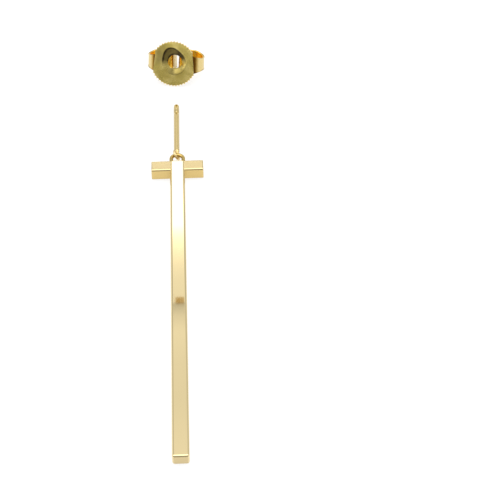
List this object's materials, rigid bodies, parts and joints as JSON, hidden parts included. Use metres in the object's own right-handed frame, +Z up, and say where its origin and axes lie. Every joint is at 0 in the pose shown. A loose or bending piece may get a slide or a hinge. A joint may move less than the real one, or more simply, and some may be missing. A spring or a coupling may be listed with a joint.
{
  "type": "earring",
  "caption": "Long slim T-shaped drop earring in yellow gold: flat bar under a short crossbar, linked to a straight ear post, with its butterfly clutch lying beside the tip.",
  "frame": {"origin": "centre of the bounding box's footprint, on the surface that the earring lies on", "axes": "+Y from the drop's free end towards the ear post's tip and the clutch, +Z up out of the drop's front face, +X along the crossbar"},
  "size_m": [0.0085, 0.0744, 0.0064],
  "materials": {
    "polished_gold": "polished 18 carat yellow gold, fine lengthwise brushing on the crossbar",
    "worn_gold": "duller yellow gold sheet, finely scratched from wear"
  },
  "bodies": {
    "root": {"t_drop": "polished_gold", "ear_post": "polished_gold", "clutch": "worn_gold"}
  },
  "joints": []
}
